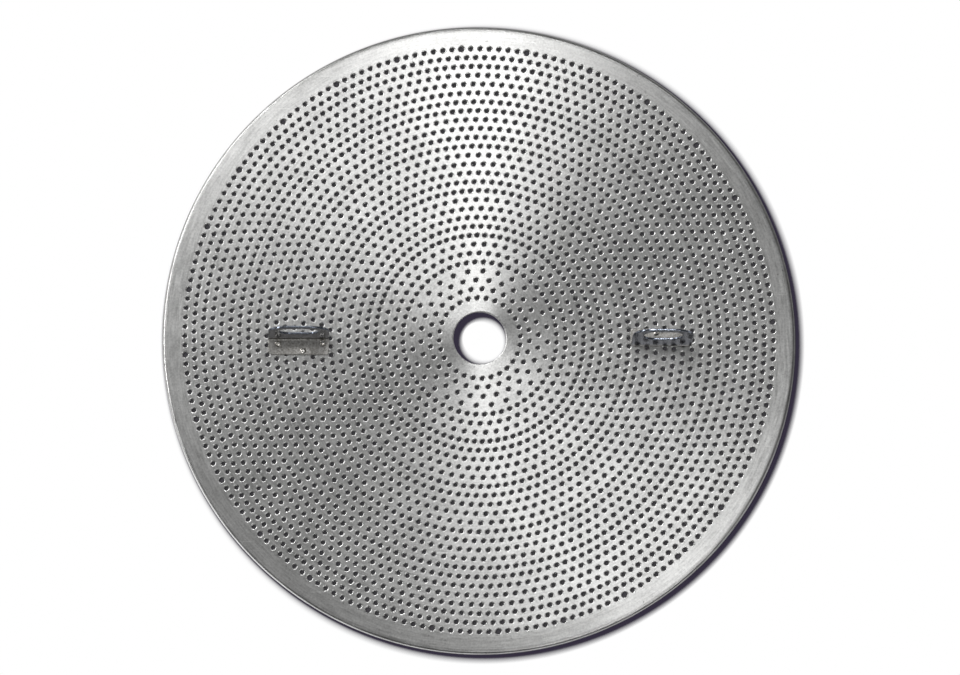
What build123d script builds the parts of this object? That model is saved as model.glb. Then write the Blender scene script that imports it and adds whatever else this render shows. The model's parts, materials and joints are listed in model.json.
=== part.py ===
"""Perforated round plate with a centre bore and two welded lifting lugs.

The plate lies flat with its underside on z = 0 and its bore on the Z axis.
All lengths are in millimetres and all angles in degrees.
"""

from build123d import *

import os

# ---------------------------------------------------------------- plate
PLATE_RADIUS = 175.0
PLATE_THICKNESS = 3.0
RIM_ROUNDING = 2.2            # soft rolled edge on the upper side
RIM_EDGE_BREAK = 0.4          # broken edge on the underside
BORE_RADIUS = 14.6
HOLE_LIP = 0.3                # width and depth of the flared mouth of every hole

# ------------------------------------------------------ perforation pattern
SECTORS = 28                  # holes in each ring of the innermost zone
RINGS_PER_ZONE = (4, 3, 5, 5, 4, 5, 3)   # a ring in zone n has n times SECTORS holes
RING_PITCH = 5.0
FIRST_RING_RADIUS = 22.5
PATTERN_ANGLE = 3.38          # a hole of every odd ring lies in this direction
HOLE_RADIUS = 1.3
INDEX_HOLE_RADIUS = 1.55      # one larger hole in each sector of the last ring

# ---------------------------------------------------------- lifting lugs
LUG_DISTANCE = 100.0          # from the Z axis to the middle of each lug
LUG_LENGTH = 33.5
LUG_SHEET = 1.2
LUG_INNER_BEND = 0.8
LUG_EDGE_ROUNDING = 0.35
FOOT_DEPTH = 10.0             # from the back of the flange to the edge of the foot
FOOT_CORNER = 2.0
FLANGE_HEIGHT = 30.6          # from the plate to the top, measured along the flange
FLANGE_CORNER = 11.0
FINGER_SLOT_LENGTH = 21.5
FINGER_SLOT_HEIGHT = 13.2
FINGER_SLOT_TOP_BAR = 3.5     # metal left above the slot

LEFT_LUG_BACK = 0.3           # back of the left flange, from the X axis
LEFT_LUG_LEAN = 3.5           # the left flange leans away from its foot
RIGHT_LUG_BACK = -4.7         # back of the right flange, from the X axis
RIGHT_LUG_LEAN = -9.0         # the right flange leans over its foot

# ------------------------------------------------------------ plug welds
WELD_PLUG_RADIUS = 1.1        # the foot is punched at this size for each weld
WELD_CAP_RADIUS = 1.5
WELD_CAP_HEIGHT = 0.9
WELD_CAP_ROUNDING = 0.6
WELD_PLACES = {               # along the lug from its middle, and in from the foot's edge
    "outboard": (-11.2, 6.2),
    "middle": (2.6, 2.1),
    "inboard": (13.4, 6.4),
}

os.makedirs("parts", exist_ok=True)


def save(piece, name):
    """Label a finished piece and write its STEP file."""
    piece.label = name
    export_step(piece, f"parts/{name}.step")


# ===================================================== perforated plate
# The plate is closed from its faces instead of being drilled. Each side is parted into
# one flat ring per ring of holes, so that no single face carries thousands of openings.
def hole_rings():
    """Radius, holes per sector and starting angle of every ring, from the inside out."""
    rings = []
    for per_sector, count in enumerate(RINGS_PER_ZONE, start=1):
        for _ in range(count):
            half_step = 180 / (SECTORS * per_sector) if len(rings) % 2 else 0
            radius = FIRST_RING_RADIUS + RING_PITCH * len(rings)
            rings.append((radius, per_sector, PATTERN_ANGLE + half_step))
    return rings


def revolved(profile):
    """Faces that a profile in the XZ plane sweeps when it turns round the Z axis."""
    return [Face.revolve(edge, 360, Axis.Z) for edge in profile.edges()]


def flat_ring(inner, outer, openings):
    """Flat ring on z = 0 with a round opening for each radius and place."""
    holes = [Wire.make_circle(radius).moved(place) for radius, place in openings]
    return Face(Wire.make_circle(outer), [Wire.make_circle(inner), *holes])


def hole_wall(radius):
    """Straight wall of a hole on the Z axis and its flared mouth."""
    with BuildLine(Plane.XZ) as profile:
        Polyline(
            (radius, 0),
            (radius, PLATE_THICKNESS - HOLE_LIP),
            (radius + HOLE_LIP, PLATE_THICKNESS),
        )
    return revolved(profile)


upper_side = Location((0, 0, PLATE_THICKNESS))
walls = {radius: hole_wall(radius) for radius in (HOLE_RADIUS, INDEX_HOLE_RADIUS)}
rings = hole_rings()
plate_faces = []
for ring_radius, per_sector, start in rings:
    holes = []
    for number, place in enumerate(PolarLocations(ring_radius, SECTORS * per_sector, start)):
        index_hole = ring_radius == rings[-1][0] and number % per_sector == 0
        holes.append((INDEX_HOLE_RADIUS if index_hole else HOLE_RADIUS, place))
    mouths = [(radius + HOLE_LIP, place) for radius, place in holes]
    borders = (ring_radius - RING_PITCH / 2, ring_radius + RING_PITCH / 2)
    plate_faces.append(flat_ring(*borders, holes))
    plate_faces.append(flat_ring(*borders, mouths).moved(upper_side))
    plate_faces += [wall.moved(place) for radius, place in holes for wall in walls[radius]]

middle_border = rings[0][0] - RING_PITCH / 2
rim_border = rings[-1][0] + RING_PITCH / 2
with BuildLine(Plane.XZ) as bore_profile:
    Polyline(
        (middle_border, 0),
        (BORE_RADIUS, 0),
        (BORE_RADIUS, PLATE_THICKNESS - HOLE_LIP),
        (BORE_RADIUS + HOLE_LIP, PLATE_THICKNESS),
        (middle_border, PLATE_THICKNESS),
    )
with BuildLine(Plane.XZ) as rim_profile:
    edge_side = Polyline(
        (rim_border, 0),
        (PLATE_RADIUS - RIM_EDGE_BREAK, 0),
        (PLATE_RADIUS, RIM_EDGE_BREAK),
        (PLATE_RADIUS, PLATE_THICKNESS - RIM_ROUNDING),
    )
    TangentArc(
        edge_side @ 1, (PLATE_RADIUS - RIM_ROUNDING, PLATE_THICKNESS), tangent=edge_side % 1
    )
    Line((PLATE_RADIUS - RIM_ROUNDING, PLATE_THICKNESS), (rim_border, PLATE_THICKNESS))
plate_faces += revolved(bore_profile) + revolved(rim_profile)

with BuildPart() as perforated_plate:
    add(Solid(Shell(plate_faces)), clean=False)   # a clean would join the flat rings again
save(perforated_plate.part, "perforated_plate")


# ========================================================= lifting lugs
# A lug's seat is a plane on the plate's upper face. Its origin is under the back of
# the flange, its X runs towards the bore and its Y points away from the foot.
LEFT_SEAT = Plane((-LUG_DISTANCE, LEFT_LUG_BACK, PLATE_THICKNESS), x_dir=(1, 0, 0))
RIGHT_SEAT = Plane((LUG_DISTANCE, RIGHT_LUG_BACK, PLATE_THICKNESS), x_dir=(-1, 0, 0))


def weld_spots(seat, height):
    """Middle of each weld on the foot, at a height above the seat."""
    return {
        name: seat.from_local_coords(Vector(along, inward - FOOT_DEPTH, height))
        for name, (along, inward) in WELD_PLACES.items()
    }


def lug(seat, lean):
    """Bent angle: a foot with punched weld holes and a flange with a finger slot."""
    side = Plane(seat.origin, x_dir=seat.y_dir, z_dir=seat.x_dir)
    half_sheet = LUG_SHEET / 2
    rise = Vector(0, 1, 0).rotate(Axis.Z, -lean)
    corner = Vector(-half_sheet, half_sheet)
    top = corner + rise * (FLANGE_HEIGHT - half_sheet)
    slot_middle = top - rise * (FINGER_SLOT_TOP_BAR + FINGER_SLOT_HEIGHT / 2)
    flange = Plane(
        side.from_local_coords(slot_middle),
        x_dir=seat.x_dir,
        z_dir=seat.y_dir.rotate(Axis((0, 0, 0), seat.x_dir), -lean),
    )

    with BuildPart() as bent:
        with BuildSketch(side):
            with BuildLine():
                FilletPolyline(
                    (-FOOT_DEPTH, half_sheet),
                    corner,
                    top,
                    radius=LUG_INNER_BEND + half_sheet,
                )
            trace(line_width=LUG_SHEET)
        extrude(amount=LUG_LENGTH / 2, both=True)

        foot_end = bent.faces().sort_by(Axis(seat.origin, seat.y_dir))[0]
        fillet(foot_end.edges().sort_by(SortBy.LENGTH)[:2], FOOT_CORNER)
        flange_end = bent.faces().sort_by(Axis.Z)[-1]
        fillet(flange_end.edges().sort_by(SortBy.LENGTH)[:2], FLANGE_CORNER)
        with BuildSketch(flange):
            SlotOverall(FINGER_SLOT_LENGTH, FINGER_SLOT_HEIGHT)
        extrude(amount=LUG_SHEET, both=True, mode=Mode.SUBTRACT)

        flange_faces = bent.faces().filter_by(GeomType.PLANE).sort_by(SortBy.AREA)[-2:]
        bend_lines = [face.edges().sort_by(Axis.Z)[0] for face in flange_faces]
        fillet([edge for edge in flange_faces.edges() if edge not in bend_lines], LUG_EDGE_ROUNDING)

        with Locations(*weld_spots(seat, LUG_SHEET).values()):
            Hole(WELD_PLUG_RADIUS, depth=LUG_SHEET)
    return bent.part


save(lug(LEFT_SEAT, LEFT_LUG_LEAN), "left_lug")
save(lug(RIGHT_SEAT, RIGHT_LUG_LEAN), "right_lug")


# =========================================================== plug welds
def weld(spot):
    """Weld metal: a plug that fills the foot's hole down to the plate, and its rounded cap."""
    with BuildPart(Plane(spot)) as bead:
        Cylinder(WELD_PLUG_RADIUS, LUG_SHEET, align=(Align.CENTER, Align.CENTER, Align.MIN))
        with Locations((0, 0, LUG_SHEET)):
            Cylinder(WELD_CAP_RADIUS, WELD_CAP_HEIGHT, align=(Align.CENTER, Align.CENTER, Align.MIN))
        fillet(bead.edges().sort_by(Axis.Z)[-1], WELD_CAP_ROUNDING)
    return bead.part


for lug_name, seat in (("left", LEFT_SEAT), ("right", RIGHT_SEAT)):
    for weld_name, spot in weld_spots(seat, 0).items():
        save(weld(spot), f"{lug_name}_weld_{weld_name}")
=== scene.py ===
import json
import math
from bisect import bisect_left

import bpy
import numpy as np
from mathutils import Matrix, Vector, noise


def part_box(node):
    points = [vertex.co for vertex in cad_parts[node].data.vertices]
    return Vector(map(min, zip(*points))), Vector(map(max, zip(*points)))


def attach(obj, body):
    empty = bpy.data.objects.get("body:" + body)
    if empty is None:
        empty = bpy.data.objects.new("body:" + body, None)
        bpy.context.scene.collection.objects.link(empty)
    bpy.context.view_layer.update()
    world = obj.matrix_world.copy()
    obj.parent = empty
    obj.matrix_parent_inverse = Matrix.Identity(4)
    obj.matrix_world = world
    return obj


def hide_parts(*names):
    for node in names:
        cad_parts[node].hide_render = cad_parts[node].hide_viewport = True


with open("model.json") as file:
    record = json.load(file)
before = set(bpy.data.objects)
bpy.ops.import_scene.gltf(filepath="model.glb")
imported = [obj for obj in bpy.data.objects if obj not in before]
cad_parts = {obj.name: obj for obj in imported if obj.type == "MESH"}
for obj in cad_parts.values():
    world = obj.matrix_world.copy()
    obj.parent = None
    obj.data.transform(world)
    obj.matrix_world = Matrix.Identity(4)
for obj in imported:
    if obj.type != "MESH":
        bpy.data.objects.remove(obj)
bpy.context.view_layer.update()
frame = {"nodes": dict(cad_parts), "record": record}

MM = 0.001

# The plate, taken from the frame where the frame gives it.
PLATE_LOW, PLATE_HIGH = (Vector(corner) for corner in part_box("perforated_plate"))
PLATE_TOP = PLATE_HIGH.z
PLATE_RADIUS = PLATE_HIGH.x
BORE_RADIUS = next(m for m in frame["record"]["mounts"] if m["name"] == "centre_bore")["dims"]["r_mm"] * MM
RIM_ROUNDING = 2.2 * MM
RIM_EDGE_BREAK = 0.4 * MM
LIP_WIDTH = 0.60 * MM                  # dished mouth round every hole
LIP_SLOPE = math.radians(38.0)         # at its steepest, next to the hole

# The perforation: zone n has n times SECTORS holes in each of its rings.
SECTORS = 28
RINGS_PER_ZONE = (4, 3, 5, 5, 4, 5, 3)
RING_PITCH = 5.0 * MM
FIRST_RING_RADIUS = 22.5 * MM
PATTERN_ANGLE = math.radians(3.38)
HOLE_RADIUS = 1.22 * MM
INDEX_HOLE_RADIUS = 1.55 * MM

LUG_SHEET = 1.2 * MM
LUG_TOP = PLATE_TOP + LUG_SHEET        # upper face of a lug's foot
LUG_BEND = (4.5 * MM, 8.5 * MM)        # heights between which the foot turns into the flange

# Size of a weld bead against its CAD cap, and its lumps.
BEAD_GROWTH = (0.56, 0.62, 1.35)
BEAD_SIZE = 0.97
BEAD_LUMPS = 0.30
LUMP_SCALE = 1.3
SEED_STEP = 7.0

HOLE_SEGMENTS = 16
BORE_SEGMENTS = 112
RIM_SEGMENTS = 392
LIP_STEPS = 4
RIM_STEPS = 6
SAME_ANGLE = 1e-6                      # radians within which two cell corners are one


# ------------------------------------------------------------------ camera
CAMERA_AZIMUTH = -107.0
CAMERA_TILT = 8.5
CAMERA_DISTANCE = 3.0
CAMERA_LENS = 203.9
CAMERA_SENSOR = 36.0
CAMERA_RANGE = (0.05, 20.0)
CAMERA_ROLL = -0.21
CAMERA_TARGET = (0.0001, 0.0003, 0.003)


def direction(azimuth, tilt):
    """Unit vector that leans from +Z by tilt degrees towards the azimuth."""
    a, t = math.radians(azimuth), math.radians(tilt)
    return Vector((math.sin(t) * math.cos(a), math.sin(t) * math.sin(a), math.cos(t)))


def make_camera():
    data = bpy.data.cameras.new("camera")
    data.lens = CAMERA_LENS
    data.sensor_width = CAMERA_SENSOR
    data.clip_start, data.clip_end = CAMERA_RANGE
    camera = bpy.data.objects.new("camera", data)
    bpy.context.collection.objects.link(camera)
    back = direction(CAMERA_AZIMUTH, CAMERA_TILT)
    right = Vector((0, 1, 0)).cross(back).normalized()
    up = back.cross(right)
    turn = Matrix((right, up, back)).transposed().to_4x4()
    camera.matrix_world = (
        Matrix.Translation(Vector(CAMERA_TARGET) + back * CAMERA_DISTANCE)
        @ turn
        @ Matrix.Rotation(math.radians(CAMERA_ROLL), 4, "Z")
    )
    bpy.context.scene.camera = camera


# --------------------------------------------------------------- node help
class Nodes:
    """Short way to write a material's node tree."""

    def __init__(self, name):
        self.material = bpy.data.materials.new(name)
        self.material.use_nodes = True
        self.tree = self.material.node_tree
        self.tree.nodes.clear()
        self.output = self.tree.nodes.new("ShaderNodeOutputMaterial")

    def add(self, kind, inputs=(), **settings):
        node = self.tree.nodes.new("ShaderNode" + kind)
        for key, value in settings.items():
            setattr(node, key, value)
        for key, value in dict(inputs).items():
            self.set(node, key, value)
        return node

    def set(self, node, key, value):
        socket = node.inputs[key]
        if isinstance(value, bpy.types.NodeSocket):
            self.tree.links.new(value, socket)
        else:
            socket.default_value = value

    def math(self, operation, a, b=0.0):
        return self.add("Math", {0: a, 1: b}, operation=operation).outputs[0]

    def vector(self, x, y, z):
        return self.add("CombineXYZ", {"X": x, "Y": y, "Z": z}).outputs[0]

    def noise(self, vector, scale, detail=2.0, roughness=0.5, distortion=0.0):
        node = self.add("TexNoise", {"Vector": vector, "Scale": scale, "Detail": detail,
                                     "Roughness": roughness, "Distortion": distortion})
        return node.outputs["Fac"]

    def upward(self):
        """How far the surface faces up: 1 on a level face, 0 on a wall."""
        normal = self.add("TexCoord").outputs["Normal"]
        return self.add("SeparateXYZ", {"Vector": normal}).outputs["Z"]

    def stretched(self, vector, turn, scale):
        """The vector turned about Z by degrees, then scaled along its axes."""
        rotation = (0.0, 0.0, math.radians(turn))
        return self.add("Mapping", {"Vector": vector, "Rotation": rotation, "Scale": scale}).outputs[0]

    def remap(self, value, low, high, to_low=0.0, to_high=1.0):
        node = self.add("MapRange", {"Value": value, "From Min": low, "From Max": high,
                                     "To Min": to_low, "To Max": to_high})
        return node.outputs["Result"]

    def mix(self, factor, a, b):
        """Colour a at factor 0 and colour b at factor 1. The numbers are the colour sockets."""
        return self.add("Mix", {0: factor, 6: a, 7: b}, data_type="RGBA").outputs[2]

    def color(self, red, green, blue):
        return self.add("CombineColor", {"Red": red, "Green": green, "Blue": blue}).outputs[0]

    def shade_metal(self, **inputs):
        """End the tree in a metal with the given inputs."""
        names = {"color": "Base Color", "roughness": "Roughness", "normal": "Normal",
                 "anisotropic": "Anisotropic", "tangent": "Tangent", "rotation": "Anisotropic Rotation"}
        node = self.add("BsdfPrincipled", {names[key]: value for key, value in inputs.items()})
        node.inputs["Metallic"].default_value = 1.0
        self.set(self.output, "Surface", node.outputs[0])


def circular_coordinates(n):
    """Position, distance from the Z axis, and the cosine and sine of the direction from it."""
    position = n.add("TexCoord").outputs["Object"]
    split = n.add("SeparateXYZ", {"Vector": position})
    x, y = split.outputs["X"], split.outputs["Y"]
    radius = n.math("SQRT", n.math("ADD", n.math("MULTIPLY", x, x), n.math("MULTIPLY", y, y)))
    safe = n.math("MAXIMUM", radius, 0.001)
    return position, radius, n.math("DIVIDE", x, safe), n.math("DIVIDE", y, safe)


BRUSHED_ANISOTROPY = 0.85
ALONG_CIRCLES = 0.25                   # turn of the anisotropy, as a share of a full turn
RIM_ASKEW = 0.030
NEAR_EDGE_ASKEW = 0.028
LEVEL_FACE = (0.96, 0.995)             # upward parts of the normal between which a slope turns level
SLOPE_POLISH = 0.09                    # how much less rough the slopes are


def plate_material():
    """Stainless sheet brushed in circles about the bore, handled and a little stained, with painted shade and
    a painted reflection on the rim.
    """
    n = Nodes("plate_steel")
    position, radius, cosine, sine = circular_coordinates(n)

    def circular(turns, lines, detail, roughness=0.5):
        """Noise drawn out along circles about the axis."""
        place = n.vector(n.math("MULTIPLY", cosine, turns), n.math("MULTIPLY", sine, turns),
                         n.math("MULTIPLY", radius, lines))
        return n.noise(place, 1.0, detail, roughness)

    streaks = circular(14.0, 950.0, 3.0, 0.6)
    bands = circular(3.0, 420.0, 2.0)
    blotches = n.noise(position, 48.0, 3.0, 0.6)
    grain = n.noise(position, 900.0, 3.0, 0.6)
    tone = n.math("MULTIPLY", streaks, 0.60)
    for layer, share in ((bands, 0.14), (blotches, 0.22), (grain, 0.46)):
        tone = n.math("ADD", tone, n.math("MULTIPLY", layer, share))
    value = n.math("ADD", tone, -0.04)

    # Small dark pits and stains, and fine bright scratches.
    pits = n.remap(n.noise(position, 520.0, 1.0), 0.74, 0.80, 1.0, 0.62)
    stains = n.remap(n.noise(position, 75.0, 2.0, 0.5, 0.8), 0.66, 0.76, 1.0, 0.88)
    value = n.math("MULTIPLY", value, n.math("MULTIPLY", pits, stains))
    scratches = n.noise(n.stretched(position, 40.0, (30.0, 900.0, 30.0)), 1.0, 1.0)
    value = n.math("ADD", value, n.remap(scratches, 0.73, 0.79, 0.0, 0.22))

    # The roll of the rim has painted shade: darker all round except on the left, where the light comes from.
    # Its very edge has a painted reflection, dark above and bright below.
    rim_painted_shade = n.remap(cosine, -0.75, -0.30, 0.0, 0.40)
    rolled = n.math("SUBTRACT", 1.0, n.math("MULTIPLY", rim_painted_shade, n.remap(
        radius, PLATE_RADIUS - 3.4 * MM, PLATE_RADIUS - 1.8 * MM)))
    outermost = n.remap(radius, PLATE_RADIUS - 1.1 * MM, PLATE_RADIUS - 0.5 * MM)
    edge_painted_reflection = n.math("MULTIPLY", outermost, n.remap(sine, -0.1, -0.5, -0.35, 0.4))
    value = n.math("MULTIPLY", value, n.math("ADD", rolled, edge_painted_reflection))
    color = n.color(value, value, n.math("MULTIPLY", value, 0.985))

    # The slopes of the hole mouths and of the rim are smoother, and aren't brushed.
    level = n.remap(n.upward(), *LEVEL_FACE)
    roughness = n.math("SUBTRACT", n.remap(streaks, 0.25, 0.75, 0.35, 0.49),
                       n.math("MULTIPLY", n.math("SUBTRACT", 1.0, level), SLOPE_POLISH))
    height = n.math("ADD", streaks, n.math("MULTIPLY", grain, 0.6))
    bump = n.add("Bump", {"Strength": 0.14, "Distance": 0.0002, "Height": height})
    tangent = n.add("Tangent", direction_type="RADIAL", axis="Z").outputs[0]

    # The brushing runs slightly askew on the rim band and towards the near edge.
    on_rim = n.math("MULTIPLY", n.remap(n.math("ABSOLUTE", sine), 0.55, 0.80), n.remap(
        radius, PLATE_RADIUS - 15 * MM, PLATE_RADIUS - 8 * MM, 0.0, RIM_ASKEW))
    near_edge = n.math("MULTIPLY", n.remap(sine, 0.0, -0.6), n.remap(radius, 0.05, 0.15, 0.0, NEAR_EDGE_ASKEW))
    rotation = n.math("SUBTRACT", ALONG_CIRCLES, n.math("ADD", on_rim, near_edge))
    brushed = n.math("MULTIPLY", level, BRUSHED_ANISOTROPY)
    n.shade_metal(color=color, roughness=roughness, anisotropic=brushed, rotation=rotation,
                  tangent=tangent, normal=bump.outputs[0])
    return n.material


def lug_material():
    """Plain stainless sheet: a dull, grainy foot and a glossier flange, with painted shade on the flange and
    painted highlights on its upward-facing edges.
    """
    n = Nodes("lug_steel")
    position = n.add("TexCoord").outputs["Object"]
    split = n.add("SeparateXYZ", {"Vector": position})
    clouds = n.noise(position, 160.0, 3.0, 0.6)
    grain = n.noise(position, 1100.0, 2.0, 0.6)
    rise = n.remap(split.outputs["Z"], *LUG_BEND)
    speckle = n.remap(grain, 0.34, 0.66)
    value = n.math("ADD", n.math("MULTIPLY", clouds, 0.22), n.math("MULTIPLY", speckle, 0.26))
    foot = n.color(*(n.math("ADD", value, tint) for tint in (0.18, 0.17, 0.15)))
    # Painted shade: the upright flange is coloured darker and bluer than the foot of the same sheet.
    flange_shade_value = n.math("MULTIPLY", value, 0.32)
    flange = n.color(*(n.math("ADD", flange_shade_value, tint) for tint in (0.010, 0.018, 0.045)))
    # Painted highlight: parts of the flange that face upward are coloured brighter.
    edge = n.math("MULTIPLY", rise, n.remap(n.upward(), 0.35, 0.75))
    color = n.mix(edge, n.mix(rise, foot, flange), (0.20, 0.22, 0.26, 1))
    roughness = n.math("SUBTRACT", n.remap(clouds, 0.3, 0.7, 0.34, 0.44), n.math("MULTIPLY", rise, 0.22))
    height = n.math("ADD", clouds, n.math("MULTIPLY", grain, 0.5))
    bump = n.add("Bump", {"Strength": 0.25, "Distance": 0.0003, "Height": height})
    n.shade_metal(color=color, roughness=roughness, normal=bump.outputs[0])
    return n.material


def weld_material():
    """Bare weld metal: bright on the crown, heat-stained where it meets the sheet."""
    n = Nodes("weld_metal")
    position = n.add("TexCoord").outputs["Object"]
    split = n.add("SeparateXYZ", {"Vector": position})
    clouds = n.noise(position, 900.0, 3.0, 0.6)
    crown = n.remap(split.outputs["Z"], LUG_TOP, LUG_TOP + 0.7 * MM)
    bare = n.mix(n.remap(clouds, 0.35, 0.65), (0.70, 0.67, 0.61, 1), (0.97, 0.95, 0.90, 1))
    color = n.mix(crown, (0.16, 0.13, 0.10, 1), bare)
    bump = n.add("Bump", {"Strength": 0.30, "Distance": 0.0002, "Height": clouds})
    n.shade_metal(color=color, roughness=0.26, normal=bump.outputs[0])
    return n.material


# ------------------------------------------------------------- plate mesh
class MeshBuilder:
    """Collects rings of points and the faces between them."""

    def __init__(self):
        self.points = []
        self.faces = []

    def ring(self, center, radius, height, segments):
        first = len(self.points)
        cx, cy = center
        for step in range(segments):
            angle = math.tau * step / segments
            self.points.append((cx + radius * math.cos(angle), cy + radius * math.sin(angle), height))
        return list(range(first, first + segments))

    def wall(self, lower, upper):
        """Quads between two rings of the same count. With the lower one first they face the axis."""
        count = len(lower)
        for step in range(count):
            ahead = (step + 1) % count
            self.faces.append((lower[ahead], lower[step], upper[step], upper[ahead]))

    def zip(self, inner, outer, center, up=True):
        """Triangles between two loops that both run anticlockwise round a centre."""
        def from_lowest(loop):
            raw = [math.atan2(self.points[i][1] - center[1], self.points[i][0] - center[0]) for i in loop]
            first = raw.index(min(raw))
            return loop[first:] + loop[:first], raw[first:] + raw[:first]

        inner, inner_angles = from_lowest(inner)
        outer, outer_angles = from_lowest(outer)
        i = o = 0
        while i < len(inner) or o < len(outer):
            next_inner = inner_angles[i + 1] if i + 1 < len(inner) else inner_angles[0] + math.tau
            next_outer = outer_angles[o + 1] if o + 1 < len(outer) else outer_angles[0] + math.tau
            a, b = inner[i % len(inner)], outer[o % len(outer)]
            if o >= len(outer) or (i < len(inner) and next_inner < next_outer):
                face = (a, b, inner[(i + 1) % len(inner)])
                i += 1
            else:
                face = (a, b, outer[(o + 1) % len(outer)])
                o += 1
            self.faces.append(face if up else face[::-1])


def hole_rings():
    """Radius, number of holes and first angle of every ring, from the inside out."""
    rings = []
    for zone, count in enumerate(RINGS_PER_ZONE, start=1):
        for _ in range(count):
            holes = SECTORS * zone
            half_step = math.pi / holes if len(rings) % 2 else 0.0
            rings.append((FIRST_RING_RADIUS + RING_PITCH * len(rings), holes, PATTERN_ANGLE + half_step))
    return rings


def cell_corners(ring):
    """Angles of the borders between the holes of a ring, from 0 up to a full turn."""
    _, holes, start = ring
    return sorted((start + (k + 0.5) * math.tau / holes) % math.tau for k in range(holes))


def merged(angles):
    """Sorted angles with those that nearly coincide taken once."""
    kept = []
    for angle in sorted(angles):
        if not kept or angle - kept[-1] > SAME_ANGLE:
            kept.append(angle)
    return kept


def plate_sheet(mesh, height, up, bore_loop, rim_loop, hole_loops, rings):
    """One flat face of the plate: a cell round every hole, the middle and the rim."""
    borders = []
    for number in range(len(rings) + 1):
        near = rings[max(number - 1, 0):number + 1]
        angles = merged([a for ring in near for a in cell_corners(ring)])
        radius = FIRST_RING_RADIUS + RING_PITCH * (number - 0.5)
        first = len(mesh.points)
        mesh.points.extend((radius * math.cos(a), radius * math.sin(a), height) for a in angles)
        borders.append((angles, list(range(first, first + len(angles)))))

    def between(border, low, high):
        """Points of a border circle from one angle to another, both ends included."""
        angles, points = border
        turns = math.floor(low / math.tau)
        position = bisect_left(angles, low - turns * math.tau - SAME_ANGLE)
        picked = []
        while True:
            lap, index = divmod(position, len(angles))
            if angles[index] + (lap + turns) * math.tau > high + SAME_ANGLE:
                return picked
            picked.append(points[index])
            position += 1

    for number, (radius, holes, start) in enumerate(rings):
        half = math.pi / holes
        for k in range(holes):
            angle = start + k * math.tau / holes
            inside = between(borders[number], angle - half, angle + half)
            outside = between(borders[number + 1], angle - half, angle + half)
            center = (radius * math.cos(angle), radius * math.sin(angle))
            mesh.zip(hole_loops[number][k], outside + inside[::-1], center, up)
    mesh.zip(bore_loop, borders[0][1], (0, 0), up)
    mesh.zip(borders[-1][1], rim_loop, (0, 0), up)


def bored_hole(mesh, center, radius, segments):
    """Wall and rounded mouth of one hole. Gives its loops on the lower and the upper face."""
    low = mesh.ring(center, radius, 0.0, segments)
    rises = [LIP_WIDTH / LIP_STEPS * math.tan(LIP_SLOPE * (1 - ((step + 0.5) / LIP_STEPS) ** 2))
             for step in range(LIP_STEPS)]
    below = low
    for step in range(LIP_STEPS + 1):
        height = PLATE_TOP - sum(rises[step:])
        above = mesh.ring(center, radius + LIP_WIDTH * step / LIP_STEPS, height, segments)
        mesh.wall(below, above)
        below = above
    return low, below


def make_plate(material):
    """The perforated plate in place of the CAD one, with dished hole mouths and a rolled rim."""
    mesh = MeshBuilder()
    rings = hole_rings()
    low_loops, high_loops = [], []
    for radius, holes, start in rings:
        per_sector = holes // SECTORS
        lows, highs = [], []
        for k in range(holes):
            angle = start + k * math.tau / holes
            center = (radius * math.cos(angle), radius * math.sin(angle))
            larger = radius == rings[-1][0] and k % per_sector == 0
            hole_radius = INDEX_HOLE_RADIUS if larger else HOLE_RADIUS
            low, high = bored_hole(mesh, center, hole_radius, HOLE_SEGMENTS)
            lows.append(low)
            highs.append(high)
        low_loops.append(lows)
        high_loops.append(highs)
    bore_low, bore_high = bored_hole(mesh, (0, 0), BORE_RADIUS, BORE_SEGMENTS)

    rim = mesh.ring((0, 0), PLATE_RADIUS - RIM_ROUNDING, PLATE_TOP, RIM_SEGMENTS)
    top_rim = rim
    for step in range(1, RIM_STEPS + 1):
        turn = math.pi / 2 * step / RIM_STEPS
        radius = PLATE_RADIUS - RIM_ROUNDING * (1 - math.sin(turn))
        height = PLATE_TOP - RIM_ROUNDING * (1 - math.cos(turn))
        lower = mesh.ring((0, 0), radius, height, RIM_SEGMENTS)
        mesh.wall(rim, lower)
        rim = lower
    for radius, height in ((PLATE_RADIUS, RIM_EDGE_BREAK), (PLATE_RADIUS - RIM_EDGE_BREAK, 0.0)):
        lower = mesh.ring((0, 0), radius, height, RIM_SEGMENTS)
        mesh.wall(rim, lower)
        rim = lower

    plate_sheet(mesh, PLATE_TOP, True, bore_high, top_rim, high_loops, rings)
    plate_sheet(mesh, 0.0, False, bore_low, rim, low_loops, rings)

    data = bpy.data.meshes.new("brushed_plate")
    data.from_pydata(mesh.points, [], mesh.faces)
    data.polygons.foreach_set("use_smooth", np.ones(len(data.polygons), dtype=bool))
    mark_flat_borders(data)
    data.materials.append(material)
    data.update()
    plate = bpy.data.objects.new("brushed_plate", data)
    bpy.context.collection.objects.link(plate)
    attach(plate, "root")
    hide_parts("perforated_plate")


def mark_flat_borders(data):
    """Mark the edges between a flat face and a curved one, so the flat faces stay flat."""
    count = len(data.polygons)
    normals = np.empty(count * 3)
    data.polygons.foreach_get("normal", normals)
    level = np.abs(normals.reshape(-1, 3)[:, 2]) > 0.9999
    starts = np.empty(count, dtype=np.int64)
    totals = np.empty(count, dtype=np.int64)
    data.polygons.foreach_get("loop_start", starts)
    data.polygons.foreach_get("loop_total", totals)
    loop_edges = np.empty(len(data.loops), dtype=np.int64)
    data.loops.foreach_get("edge_index", loop_edges)
    level_loops = np.repeat(level, totals)
    flat = np.bincount(loop_edges[level_loops], minlength=len(data.edges))
    curved = np.bincount(loop_edges[~level_loops], minlength=len(data.edges))
    sharp = data.attributes.new("sharp_edge", "BOOLEAN", "EDGE")
    sharp.data.foreach_set("value", (flat > 0) & (curved > 0))


# --------------------------------------------------------- lugs and welds
def dress(node, material):
    """Give a CAD node the material that it is shown with."""
    piece = frame["nodes"][node]
    for place in piece.material_slots:
        place.material = material
    if not piece.material_slots:
        piece.data.materials.append(material)


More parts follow.
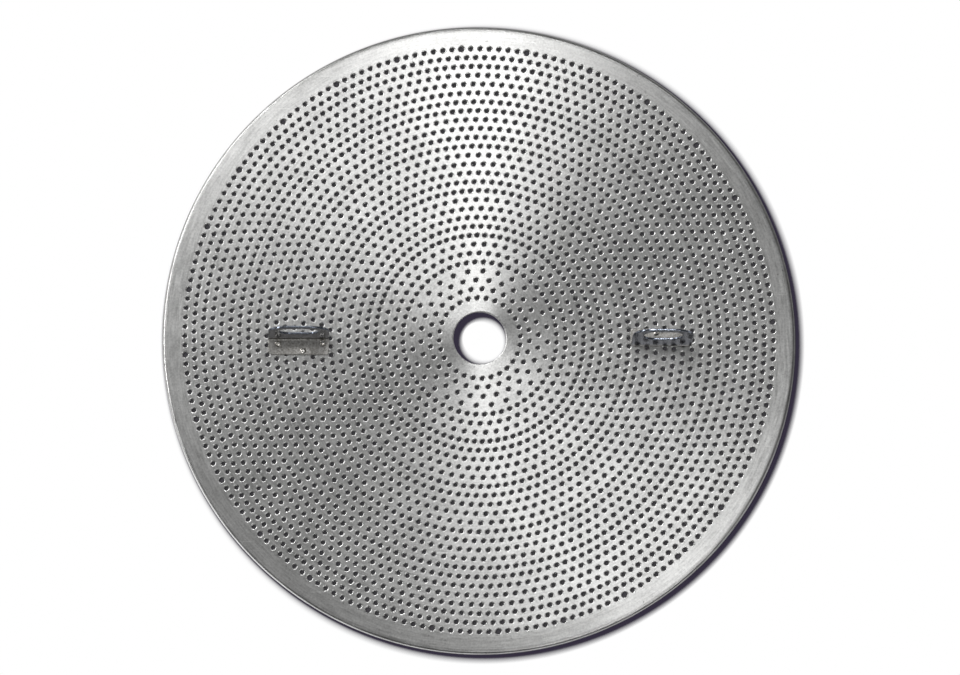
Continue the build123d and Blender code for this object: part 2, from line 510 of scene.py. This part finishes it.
def make_bead(node, material, seed):
    """Lumpy crown of a plug weld in place of the plain CAD one."""
    low, high = (Vector(corner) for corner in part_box(node))
    middle = (low + high) / 2
    half = Vector((high.x - low.x, high.y - low.y, high.z - LUG_TOP)) * Vector(BEAD_GROWTH)
    bpy.ops.mesh.primitive_ico_sphere_add(subdivisions=4, radius=1.0)
    bead = bpy.context.object
    bead.name = node.replace("_weld_", "_bead_")
    for vertex in bead.data.vertices:
        lump = noise.noise(vertex.co * LUMP_SCALE + Vector((seed * SEED_STEP, 0.0, 0.0)))
        point = vertex.co * (BEAD_SIZE + BEAD_LUMPS * lump)
        vertex.co = Vector((middle.x, middle.y, LUG_TOP)) + point * half
    bead.data.polygons.foreach_set("use_smooth", np.ones(len(bead.data.polygons), dtype=bool))
    bead.data.materials.append(material)
    bead.data.update()
    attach(bead, "root")
    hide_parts(node)


# ---------------------------------------------------------------- stage
SHADOW_AZIMUTH = 145.0                 # side that the shadow falls away from
SHADOW_TILT = 50.0
SHADOW_REACH = 5.6 * MM
SHADOW_RANGE = (0.73, 0.96)            # openness from full shadow to none
HOLE_SHADE_RANGE = (0.18, 0.32)            # openness from the darker to the lighter side of the painted shade on a hole's bottom
COVERED_RANGE = (0.22, 0.38)           # openness straight up, from inside a hole to outside the plate
# Colours of the painted shadow beside the plate and of the painted shade under its holes.
SHADOW_COLOR = (0.036, 0.030, 0.050, 1)
HOLE_SHADE_DARK = (0.004, 0.004, 0.005, 1)
HOLE_SHADE_LIGHT = (0.060, 0.058, 0.062, 1)
WHITE = (1, 1, 1, 1)
FLOOR_GREY = (0.8, 0.8, 0.8, 1)        # what the floor gives back to plain light
FLOOR_SIZE = 12.0
FLOOR_HEIGHT = -0.05 * MM
WORLD_STRENGTH = 0.11


def floor_material():
    """White backdrop with the object's shadow and the shade under its holes painted from ambient occlusion,
    seen straight or in metal.
    """
    n = Nodes("floor_white_painted_shadow")
    toward = n.vector(*direction(SHADOW_AZIMUTH, SHADOW_TILT))
    beside = n.add("AmbientOcclusion", {"Distance": SHADOW_REACH, "Normal": toward}, samples=64)
    above = n.add("AmbientOcclusion", {"Distance": SHADOW_REACH}, samples=16)
    # Painted shadow beside the plate and painted shade on the floor seen through its holes, both from ambient
    # occlusion and shown as emission.
    painted_shadow = n.mix(n.remap(beside.outputs["AO"], *SHADOW_RANGE), SHADOW_COLOR, WHITE)
    hole_painted_shade = n.mix(n.remap(beside.outputs["AO"], *HOLE_SHADE_RANGE), HOLE_SHADE_DARK, HOLE_SHADE_LIGHT)
    shade = n.mix(n.remap(above.outputs["AO"], *COVERED_RANGE), hole_painted_shade, painted_shadow)
    near = n.add("Emission", {"Color": shade, "Strength": 1.0})
    far = n.add("Emission", {"Color": WHITE, "Strength": 1.0})
    _, radius, _, _ = circular_coordinates(n)
    away = n.math("GREATER_THAN", radius, PLATE_RADIUS + SHADOW_REACH)
    shown = n.add("MixShader", {0: away, 1: near.outputs[0], 2: far.outputs[0]})
    plain = n.add("BsdfDiffuse", {"Color": FLOOR_GREY})
    ray = n.add("LightPath").outputs
    mirrored = n.math("MAXIMUM", ray["Is Glossy Ray"], ray["Is Transmission Ray"])
    seen = n.math("MAXIMUM", ray["Is Camera Ray"], mirrored)
    both = n.add("MixShader", {0: seen, 1: plain.outputs[0], 2: shown.outputs[0]})
    n.set(n.output, "Surface", both.outputs[0])
    return n.material


def make_floor():
    bpy.ops.mesh.primitive_plane_add(size=FLOOR_SIZE, location=(0, 0, FLOOR_HEIGHT))
    floor = bpy.context.object
    floor.name = "floor"
    floor.data.materials.append(floor_material())


LIGHTS = (
    # name, azimuth and tilt from overhead in degrees, distance, width and height in metres, watts
    ("overhead", 0.0, 0.0, 3.6, 4.2, 4.2, 10.8),
    ("bank", 83.0, 28.0, 0.9, 0.15, 0.15, 1.26),
    ("bank_left", 104.0, 28.0, 0.9, 0.15, 0.15, 0.12),
    ("side", 123.0, 28.0, 2.2, 0.4, 0.4, 2.7),
    ("far_bank", 92.0, 55.0, 2.2, 0.3, 0.3, 2.4),
    ("key", 150.0, 62.0, 2.2, 2.8, 0.3, 24.0),
    ("near_fill", 307.0, 30.0, 2.2, 1.1, 0.4, 6.6),
)


def make_lights():
    """Area lamps that all face the middle of the plate."""
    for name, azimuth, tilt, distance, width, height, power in LIGHTS:
        data = bpy.data.lights.new(name, "AREA")
        data.shape = "RECTANGLE"
        data.size = width
        data.size_y = height
        data.energy = power
        lamp = bpy.data.objects.new(name, data)
        bpy.context.collection.objects.link(lamp)
        toward = direction(azimuth, tilt)
        lamp.location = toward * distance
        lamp.rotation_euler = toward.to_track_quat("Z", "Y").to_euler()


def make_world():
    world = bpy.data.worlds.new("studio")
    bpy.context.scene.world = world
    world.use_nodes = True
    back = world.node_tree.nodes["Background"]
    back.inputs["Color"].default_value = WHITE
    back.inputs["Strength"].default_value = WORLD_STRENGTH


make_camera()
make_plate(plate_material())
lug_steel = lug_material()
weld_metal = weld_material()
welds = sorted(node for node in frame["nodes"] if "_weld_" in node)
for seed, node in enumerate(welds):
    make_bead(node, weld_metal, seed)
for node in frame["nodes"]:
    if node.endswith("_lug"):
        dress(node, lug_steel)
make_floor()
make_lights()
make_world()
bpy.context.scene.view_settings.view_transform = "Standard"
